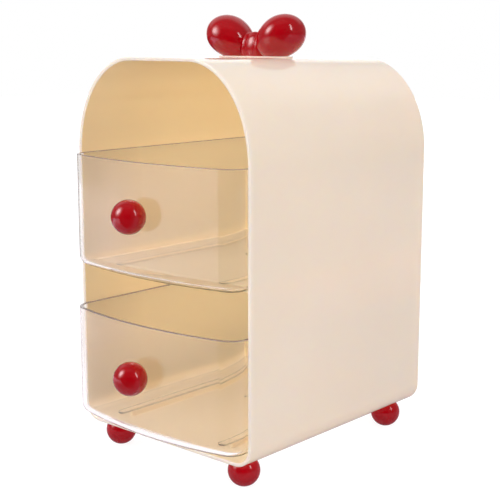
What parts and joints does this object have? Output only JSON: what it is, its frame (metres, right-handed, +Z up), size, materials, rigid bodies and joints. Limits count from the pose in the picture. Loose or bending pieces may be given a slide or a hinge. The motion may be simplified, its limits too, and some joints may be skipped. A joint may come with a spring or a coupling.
{
  "type": "desktop mini drawers",
  "caption": "Small desktop chest with a rounded cream housing, clear pull-out drawers with ball knobs, ball feet and a bow on top, for craft parts and trinkets",
  "frame": {"origin": "On the floor, in the middle of the box round the whole object.", "axes": "+Z up, -Y towards the front, where the drawers pull out, +X to the right seen from the front."},
  "size_m": [0.12, 0.1738, 0.2295],
  "materials": {
    "cream_plastic": "glossy moulded cream plastic",
    "red_plastic": "glossy moulded red plastic",
    "clear_plastic": "clear moulded plastic with a faint warm tint",
    "screw_steel": "plain steel"
  },
  "bodies": {
    "housing": {"housing": "cream_plastic", "bow": "red_plastic", "foot_front_left": "red_plastic", "foot_front_right": "red_plastic", "foot_back_left": "red_plastic", "foot_back_right": "red_plastic"},
    "upper_drawer": {"upper_drawer": "clear_plastic", "upper_knob": "red_plastic", "upper_knob_screw": "screw_steel"},
    "lower_drawer": {"lower_drawer": "clear_plastic", "lower_knob": "red_plastic", "lower_knob_screw": "screw_steel"}
  },
  "joints": [
    {"name": "upper_drawer_slide", "type": "slide", "parent": "housing", "child": "upper_drawer", "axis": [0, -1, 0], "range_m": [0, 0.09]},
    {"name": "lower_drawer_slide", "type": "slide", "parent": "housing", "child": "lower_drawer", "axis": [0, -1, 0], "range_m": [-0.0009, 0.09]}
  ]
}
